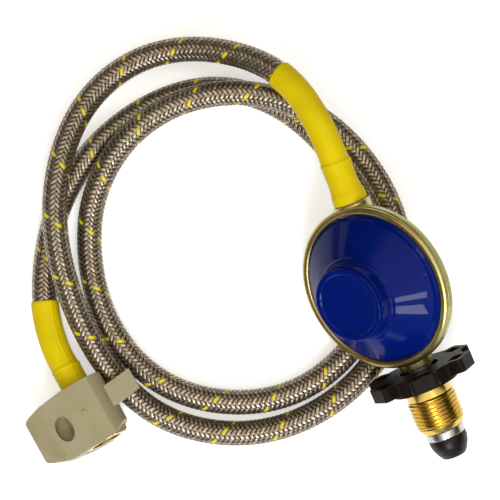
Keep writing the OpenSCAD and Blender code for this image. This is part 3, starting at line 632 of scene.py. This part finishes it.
def braidTree():
    tree = bpy.data.node_groups.new("WovenBraid", "GeometryNodeTree")
    braidSockets(tree)
    f = Fields(tree)
    given = f.put("NodeGroupInput").outputs
    bands = braid["bandsEachWay"]
    turn = 2 * math.pi
    line = f.put("GeometryNodeMeshToCurve", {"Mesh": given["Route"]}).outputs["Curve"]
    strips = flatStrips(f, given["Rows"], bands)

    # The second half of the carriers runs the other way round
    carrier = f.put("GeometryNodeInputNamedAttribute", {"Name": "carrier"}, data_type="FLOAT")
    carrier = carrier.outputs["Attribute"]
    cell = f.put("ShaderNodeSeparateXYZ", {0: f.put("GeometryNodeInputPosition").outputs[0]}).outputs
    second = f.math("GREATER_THAN", carrier, bands - 0.5)
    way = f.math("SUBTRACT", 1.0, f.math("MULTIPLY", second, 2.0))
    number = f.math("SUBTRACT", carrier, f.math("MULTIPLY", second, float(bands)))
    share = f.math("ADD", cell["X"], 0.5)
    row = f.math("MULTIPLY_ADD", share, f.math("SUBTRACT", given["To"], given["From"]), given["From"])

    # Slope of a band on the unrolled hose, and the step sideways across it
    slope = f.math("ARCTAN2", f.math("MULTIPLY", given["Middle"], turn), given["Pitch"])
    tracer = f.math("LESS_THAN", carrier, 0.5)
    wider = f.math("MULTIPLY_ADD", tracer, braid["tracerWidth"] - 1.0, 1.0)
    sideways = f.math("MULTIPLY", f.math("MULTIPLY", cell["Y"], given["Band Width"]), wider)
    back = f.math("MULTIPLY", f.math("MULTIPLY", sideways, f.math("SINE", slope)), way)
    along = f.math("SUBTRACT", row, back)
    perTurn = f.math("DIVIDE", turn, given["Pitch"])
    angle = f.math("MULTIPLY", f.math("MULTIPLY", row, perTurn), way)
    angle = f.math("ADD", angle, f.math("MULTIPLY", number, turn / bands))
    shift = f.math("DIVIDE", f.math("MULTIPLY", sideways, f.math("COSINE", slope)), given["Middle"])
    angle = f.math("ADD", angle, shift)

    # How many bands of the other way have been crossed so far
    crossing = f.math("MULTIPLY_ADD", f.math("MULTIPLY", along, perTurn), way, angle)
    crossing = f.math("MULTIPLY", crossing, bands / turn)
    crossing = f.math("ADD", f.math("ADD", crossing, number), -0.5)
    swing, height = bandHeight(f, given, crossing, way, cell["Y"])
    spot = placeRound(f, line, along, angle, height)

    strips = f.store(strips, "across", cell["Y"])
    # The rise also drives the material's painted shade where a band dips under another
    strips = f.store(strips, "rise", f.math("MULTIPLY_ADD", swing, 0.5, 0.5))
    strips = f.store(strips, "tracer", tracer)
    whole = f.put("FunctionNodeFloatToInt", {0: carrier}).outputs[0]
    chance = f.put("FunctionNodeRandomValue", {"ID": whole, "Seed": braid["tintSeed"]})
    strips = f.store(strips, "tint", chance.outputs[1])
    bent = f.put("GeometryNodeSetPosition", {"Geometry": strips, "Position": spot}).outputs["Geometry"]
    smooth = f.put("GeometryNodeSetShadeSmooth", {"Geometry": bent}).outputs["Geometry"]
    real = f.put("GeometryNodeRealizeInstances", {"Geometry": smooth}).outputs["Geometry"]
    final = f.put("GeometryNodeSetMaterial", {"Geometry": real, "Material": given["Braid Material"]})
    f.put("NodeGroupOutput", {"Braid": final.outputs["Geometry"]})
    return tree


def routeObject(name):
    data = bpy.data.meshes.new(name)
    data.from_pydata([tuple(p) for p in centreLine], [(i, i + 1) for i in range(len(centreLine) - 1)], [])
    made = bpy.data.objects.new(name, data)
    scene.collection.objects.link(made)
    return made


def makeBraid():
    tree = braidTree()
    sockets = {s.name: s.identifier for s in tree.interface.items_tree if s.in_out == "INPUT"}
    margin = braid["margin"] * mm
    edges = np.linspace(margin, hoseLength - margin, braid["pieces"] + 1)
    made = []
    for i, (start, end) in enumerate(zip(edges, edges[1:])):
        piece = routeObject(f"braid_{i + 1}")
        grow = piece.modifiers.new("Woven", "NODES")
        grow.node_group = tree
        values = {
            "From": start, "To": end, "Rows": int((end - start) / (braid["rowLength"] * mm)) + 1,
            "Pitch": hose["pitch"] * mm, "Middle": braid["middle"] * mm, "Wave": braid["wave"] * mm,
            "Crown": braid["crown"] * mm, "Band Width": braid["bandWidth"] * mm,
            "Braid Material": looks["braid"],
        }
        for name, value in values.items():
            grow[sockets[name]] = value
        applyModifiers(piece)
        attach(piece, root)
        made.append(piece)
    return made


braidPieces = makeBraid()
print("braid", [len(p.data.polygons) for p in braidPieces])

# Thin sleeves shrunk over their profiles of (distance, radius). Rings are (distance, height) and show
# where the ferrule below ends, creases are (angle, height), ripples are (height, waves round, turn per mm).
sleeve = {
    "wall": 0.62,
    "sides": 132,
    "step": 0.5,
    "blur": 5,
    "lipDepth": 0.6,
    "lipStart": 0.02,
    "spans": 2,
    "ripples": [(0.03, 3, 0.21), (0.02, 5, -0.37)],
    "ringWidth": 0.55,
    "ringLean": 0.35,
    "leanTowards": 1,
    "creaseWidth": 0.045,
    "creaseTurn": 0.002,
    "regulator": {
        "start": 38.65,
        "profile": [
            (0, 7.75), (3.2, 7.7), (4.9, 7.3), (7.4, 6.9), (11.4, 6.75), (18, 6.9), (19.2, 6.45),
            (24, 6.35), (70, 6.4),
        ],
        "rings": [(18.4, 0.42), (3.8, 0.12)],
        "creases": [],
    },
    "far": {
        "start": -0.4,
        "shorter": 4.5,
        "profile": [(0, 6.65), (8, 6.65), (9.2, 6.4), (14, 6.3), (70, 6.35)],
        "rings": [(8.6, 0.42)],
        "creases": [(2.1, 0.26)],
    },
}


def evenLine(points):
    line = np.array([tuple(p) for p in points])
    lengths = lengthsAlong(line)
    every = np.arange(0, lengths[-1], sleeve["step"] * mm)
    return pointsAt(line, lengths, every), every / mm


# How far the ripples, the rings and the creases stand out, for each place and angle
def marks(at, angles, rings, creases):
    along, around = at[:, None], angles[None, :]
    relief = np.zeros((len(at), len(angles)))
    for height, waves, turn in sleeve["ripples"]:
        relief += height * np.sin(waves * around + turn * along)
    for where, height in rings:
        off = along - where - sleeve["ringLean"] * np.sin(around + sleeve["leanTowards"])
        relief += height * np.exp(-((off / sleeve["ringWidth"]) ** 2))
    for angle, height in creases:
        off = np.angle(np.exp(1j * (around - angle - sleeve["creaseTurn"] * along)))
        relief += height * np.exp(-((off / sleeve["creaseWidth"]) ** 2))
    return relief * mm


# A closed shell: the outer wall with its marks, rounded towards both ends, and the bore
def shrunk(name, cadNode, line, at, shape):
    outer = np.interp(at, *zip(*shape["profile"]))
    blur = sleeve["blur"]
    smooth = np.convolve(np.pad(outer, blur // 2, mode="edge"), np.ones(blur) / blur, mode="valid")
    toEnd = np.minimum(at, at[-1] - at) / sleeve["step"]
    lip = np.sqrt(np.minimum(1, toEnd + sleeve["lipStart"]))
    out = (smooth - sleeve["lipDepth"] * sleeve["wall"] * (1 - lip)) * mm
    bore = (smooth - sleeve["wall"]) * mm
    sides = sleeve["sides"]
    ring, angles = directionsRound(line, sides)
    radius = out[:, None] + marks(at, angles, shape["rings"], shape["creases"])
    wall = line[:, None] + ring * radius[:, :, None]
    hole = line[:, None] + ring * bore[:, None, None]
    vertices = np.concatenate([wall.reshape(-1, 3), hole.reshape(-1, 3)])
    count = len(line)
    inside, last = count * sides, (count - 1) * sides
    faces = tubeFaces(count, sides) + [face[::-1] for face in tubeFaces(count, sides, inside)]
    for k in range(sides):
        j = (k + 1) % sides
        faces.append((k, inside + k, inside + j, j))
        faces.append((last + k, last + j, inside + last + j, inside + last + k))
    made = meshObject(name, vertices, faces, looks["sleeve"], smoothAngle=60)
    turnOutward(made)
    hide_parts(cadNode)
    return made


# Each sleeve follows its fitting's own line, then the first spans of the hose's curve
def makeSleeves():
    points = hoseRoute()
    covered = sleeve["spans"] * hose["spanSteps"]
    near, far = sleeve["regulator"], sleeve["far"]
    lead = [outletPoint(near["start"]), outletPoint(hose["outletStart"])]
    upper, at = evenLine(lead + points[1:3 + covered])
    nearSleeve = shrunk("sleeve_regulator_yellow", "sleeve_regulator", upper, at, near)
    lead = [farPoint(far["start"]), farPoint(hose["farLead"][1])]
    lower, at = evenLine(lead + points[::-1][2:4 + covered])
    kept = at < at[-1] - far["shorter"]
    farSleeve = shrunk("sleeve_far_yellow", "sleeve_far", lower[kept], at[kept], far)
    return nearSleeve, farSleeve


sleeves = makeSleeves()
print("sleeves")

# Regulator: profiles of (radius, height, fillet), and for the bosses (radius, place along the port, fillet)
regulator = {
    "segments": 192,
    "pan": [
        (0, -15.8), (15.86, -15.8, 6), (22.65, -14, 6), (32.47, -5.8, 3), (36.15, -4, 0.5), (37.75, -4, 0.7),
        (37.75, -1.1, 0.45), (36.7, -0.85, 0.15), (36.7, -0.2), (33.35, -0.2), (33.35, -1.65), (0, -1.65),
    ],
    "roll": [
        (33.35, -0.4), (36.9, -0.4), (37.65, -0.2, 0.3), (37.65, 0.7, 0.9), (36.5, 1.5, 1.2), (35.2, 1.5, 1),
        (34.35, 1, 0.4), (34.35, 0.5, 0.1), (33.35, 0.5),
    ],
    "dome": [
        (33, 0), (34.1, 0), (34.1, 0.9, 0.3), (33.1, 1.9, 0.5), (32.6, 3.1, 0.9), (20.3, 12.5, 1.2),
        (19.3, 13.3, 0.8), (18.7, 14.3, 0.8), (17.7, 14.6, 0.8), (17.4, 19.6, 0.5), (13.2, 19.6, 0.2),
        (13.2, 12), (30, 1.2),
    ],
    "capSegments": 144,
    "cap": [
        (0, 20.8), (13.8, 20.8, 0.5), (14.5, 21.4, 0.4), (16.7, 21.4, 0.7), (16.7, 19.65, 0.3),
        (12.9, 19.65, 0.1), (12.9, 17.8, 0.2), (0, 17.8),
    ],
    "bossSegments": 96,
    "outlet": [(3, -37), (3, -38.45, 0.2), (8.5, -38.45, 0.7), (8.5, -24, 1), (3, -24)],
    "inlet": [(3, 24), (8, 24), (8, 40.55, 0.7), (6.1, 40.55, 0.2), (3, 39)],
}

# The vent goes through the cone square to its face, on the low side
vent = {"radius": 2, "at": 26.4, "height": 7.05, "slope": 39.0, "reach": 9, "segments": 48}


def makeBody():
    segments, boss = regulator["segments"], regulator["bossSegments"]
    pan = revolved("body_pan", regulator["pan"], regulatorFrame, looks["chromate"], segments)
    roll = revolved("rolled_lip", regulator["roll"], regulatorFrame, looks["gold"], segments)
    outlet = revolved("outlet_boss", regulator["outlet"], outletFrame @ alongX, looks["gold"], boss)
    inlet = revolved("inlet_boss", regulator["inlet"], portFrame, looks["chromate"], boss)
    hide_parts("lower_body")


def cutVent(dome):
    radius, reach = vent["radius"], vent["reach"]
    at = regulatorFrame @ moved(0, -vent["at"], vent["height"]) @ turned((vent["slope"], 0, 0))
    shape = [(0, -reach), (radius, -reach), (radius, reach), (0, reach)]
    drill = revolved("vent_drill", shape, at, looks["blue"], vent["segments"])
    holed = dome.modifiers.new("Vent", "BOOLEAN")
    holed.operation = "DIFFERENCE"
    holed.object = drill
    applyModifiers(dome)
    bpy.data.objects.remove(drill)


def makeBonnet():
    dome = revolved("bonnet_dome", regulator["dome"], regulatorFrame, looks["blue"], regulator["segments"])
    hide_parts("bonnet")
    cutVent(dome)


def makeCap():
    segments = regulator["capSegments"]
    cap = revolved("tower_cap_blue", regulator["cap"], regulatorFrame, looks["blue"], segments)
    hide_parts("tower_cap")


makeBody()
makeBonnet()
makeCap()
print("regulator")

# Bottle connector: the thread's flat and flank are shares of half a pitch, the profiles are as above
thread = {
    "pitch": 1.814,
    "start": 54.35,
    "length": 13.4,
    "crest": 11.25,
    "depth": 1.05,
    "flat": 0.14,
    "flank": 0.72,
    "bore": 6.1,
    "runIn": 1.2,
    "segments": 220,
    "rowsPerPitch": 14,
}
bottleNut = {
    "segments": 128,
    "neck": [
        (6.1, 43.2), (12.4, 43.2, 0.3), (12.4, 49.4, 0.3), (10.25, 49.5), (10.25, 54.35, 0.2),
        (10.25, 54.6), (6.1, 54.6),
    ],
    "nose": [(6.1, 67.55), (10.25, 67.55), (10.7, 67.8, 0.2), (9.3, 70.55, 0.3), (6.1, 70.55, 0.2)],
}
nipple = {
    "segments": 96,
    "shank": [
        (3, 38), (6, 38), (6, 70.95), (6.2, 70.85), (8.8, 70.85, 0.4), (8.8, 74.35, 0.4), (3, 74.35),
    ],
    "seal": [
        (2.5, 74.4), (8.7, 74.4, 0.3), (8.75, 76.5, 1.5), (8.2, 79, 3), (6.9, 81.8, 3), (5.35, 84.2, 1.3),
        (2.5, 84.2, 0.4), (2.5, 80.8),
    ],
}


# Rows of points run along the turns, so that each crest is a line of edges
def makeThread():
    segments, rows, pitch = thread["segments"], thread["rowsPerPitch"], thread["pitch"]
    start, end = thread["start"], thread["start"] + thread["length"]
    count = math.ceil(rows * (thread["length"] / pitch + 1))

    def point(radius, a, x):
        return portFrame @ (Vector((radius * math.cos(a), radius * math.sin(a), x)) * mm)

    angles = [2 * math.pi * k / segments for k in range(segments)]
    vertices, faces = [], []
    for i in range(count + 1):
        wave = abs(2 * (i / rows % 1) - 1)
        cut = thread["depth"] * min(1, max(0, (wave - thread["flat"]) / thread["flank"]))
        for k, a in enumerate(angles):
            x = min(end, max(start, start + pitch * (i / rows - k / segments)))
            runIn = min(1, (x - start) / thread["runIn"], (end - x) / thread["runIn"])
            vertices.append(point(thread["crest"] - max(cut, thread["depth"] * (1 - runIn)), a, x))
    for i in range(count):
        for k in range(segments - 1):
            low, high = i * segments + k, (i + 1) * segments + k
            faces.append((low, low + 1, high + 1, high))
        low, high = max(0, i - rows) * segments, max(0, i + 1 - rows) * segments
        faces.append(((i + 1) * segments - 1, low, high, (i + 2) * segments - 1))

    # The bore closes the ring
    bore = [len(vertices), len(vertices) + segments]
    last = count * segments
    for x in (start, end):
        vertices += [point(thread["bore"], a, x) for a in angles]
    for k in range(segments):
        j = (k + 1) % segments
        faces.append((k, j, bore[0] + j, bore[0] + k))
        faces.append((bore[0] + k, bore[0] + j, bore[1] + j, bore[1] + k))
        faces.append((bore[1] + k, bore[1] + j, last + j, last + k))
    made = meshObject("bottle_thread_brass", vertices, faces, looks["brass"], "bottle_connector", 35)
    joinDoubles(made)
    turnOutward(made)


def makeBottleNut():
    shared = (portFrame, looks["brass"], bottleNut["segments"], "bottle_connector")
    neck = revolved("bottle_nut_neck", bottleNut["neck"], *shared)
    nose = revolved("bottle_nut_nose", bottleNut["nose"], *shared)
    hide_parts("pol_nut")


def makeNipple():
    shank = revolved("nipple_shank", nipple["shank"], portFrame, looks["steel"], nipple["segments"])
    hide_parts("inlet_nipple")
    seal = revolved("bullet_nose", nipple["seal"], portFrame, looks["rubber"], nipple["segments"])
    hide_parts("nose_seal")


def makeWheel():
    wheel = softened(
        "handwheel_black", "handwheel", looks["blackPlastic"], "bottle_connector", width=1.1, segments=4,
    )


makeThread()
makeBottleNut()
makeNipple()
makeWheel()
print("bottle connector")

# Flare end, with the round mark that the mould's gate leaves on the collar
gate = {
    "at": (13.1, -1.4, 0),
    "segments": 32,
    "profile": [(0, 10.9), (1, 10.9), (0.95, 11.35, 0.2), (0.5, 11.6, 0.3), (0, 11.65)],
}


def makeFlareEnd():
    nylon, body = looks["nylon"], "flare_connector"
    collar = softened("wing_collar_cream", "wing_collar", nylon, body, width=0.8, segments=3)
    at = farFrame @ moved(*gate["at"])
    gateMark = revolved("collar_gate_mark", gate["profile"], at, nylon, gate["segments"], body)
    flare = softened("flare_nut_brass", "flare_nut", looks["paleBrass"], body, width=0.3, segments=2)
    return collar, gateMark, flare


flareEnd = makeFlareEnd()
print("flare end")

# The pieces that keep the solid's own mesh
inner = {
    "adjusting_screw": "paleBrass",
    "main_spring": "springSteel",
    "diaphragm": "nitrile",
    "body_gasket": "paper",
    "diaphragm_plate": "steel",
    "diaphragm_post": "brass",
    "post_nut": "steel",
    "lever": "steel",
    "lever_pin": "steel",
    "valve_plunger": "brass",
    "seat_disc": "nitrile",
    "orifice_nozzle": "brass",
    "vent_screen": "steel",
    "stem_regulator": "steel",
    "ferrule_regulator": "steel",
    "ferrule_far": "steel",
    "stem_far": "paleBrass",
}
for name, look in inner.items():
    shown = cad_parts[name]
    shown.data.materials.clear()
    shown.data.materials.append(looks[look])
print("inner pieces")


# Floor and light
floor = {"half": 3.0, "color": 0.9, "rough": 0.9, "glow": 0.5}


# The floor's glow is seen by the camera and in reflections, but doesn't light the pieces
def makeFloor():
    half = floor["half"]
    data = bpy.data.meshes.new("Floor")
    corners = [(-half, -half, 0), (half, -half, 0), (half, half, 0), (-half, half, 0)]
    data.from_pydata(corners, [], [(0, 1, 2, 3)])
    material, tree, shader = emptyMaterial("WhiteFloor")
    setSockets(shader, {
        "Base Color": (floor["color"], floor["color"], floor["color"], 1), "Roughness": floor["rough"],
        "Specular IOR Level": 0.0, "Emission Color": (1, 1, 1, 1),
    })
    path = node(tree, "ShaderNodeLightPath").outputs
    seen = path["Is Camera Ray"]
    for ray in ("Is Glossy Ray", "Is Transmission Ray"):
        seen = mathNode(tree, "MAXIMUM", seen, path[ray])
    glow = mathNode(tree, "MULTIPLY", seen, floor["glow"])
    tree.links.new(glow, shader.inputs["Emission Strength"])
    data.materials.append(material)
    made = bpy.data.objects.new("Floor", data)
    scene.collection.objects.link(made)


# Lamps as (name, place, power, width, height, colour); the sky as (height of the direction, colour),
# and a cooler light that is added to it towards -Y as (share of -Y in the direction, colour)
lights = {
    "aim": (-0.06, 0.03, 0.0),
    "lamps": [
        ("Main", (0.22, 0.36, 1.15), 1.1, 0.28, 0.28, (0.96, 0.98, 1.0)),
        ("Second", (0.30, -0.20, 1.25), 0.45, 0.22, 0.22, (0.96, 0.98, 1.0)),
        ("Window", (0.08, -1.05, 0.92), 8.2, 0.5, 0.3, (0.95, 0.94, 1.0)),
        ("UpperPane", (0.07, -0.76, 1.2), 4.6, 0.5, 0.17, (0.95, 0.94, 1.0)),
    ],
    "sky": [
        (0.0, (0.04, 0.03, 0.021)), (0.6, (0.05, 0.039, 0.027)), (0.8, (1.16, 1.07, 0.93)),
        (1.0, (1.42, 1.33, 1.19)),
    ],
    "front": [(0.66, (0, 0, 0)), (0.92, (0.24, 0.34, 0.56))],
    "skyStrength": 0.92,
}


def areaLight(name, at, power, width, height, color):
    data = bpy.data.lights.new(name, "AREA")
    data.energy = power
    data.shape = "RECTANGLE"
    data.size = width
    data.size_y = height
    data.color = color
    made = bpy.data.objects.new(name, data)
    made.location = at
    made.rotation_euler = (Vector(lights["aim"]) - Vector(at)).to_track_quat("-Z", "Y").to_euler()
    scene.collection.objects.link(made)


def makeLight():
    world = bpy.data.worlds.new("World")
    scene.world = world
    world.use_nodes = True
    tree = world.node_tree
    where = node(tree, "ShaderNodeTexCoord").outputs["Generated"]
    split = node(tree, "ShaderNodeSeparateXYZ", {0: where}).outputs
    above = ramp(tree, split["Z"], lights["sky"])
    front = ramp(tree, mathNode(tree, "MULTIPLY", split["Y"], -1.0), lights["front"])
    sky = tree.nodes["Background"]
    tree.links.new(mixed(tree, above, front, blend="ADD"), sky.inputs["Color"])
    sky.inputs["Strength"].default_value = lights["skyStrength"]
    for lamp in lights["lamps"]:
        areaLight(*lamp)


makeFloor()
makeLight()
print("stage")
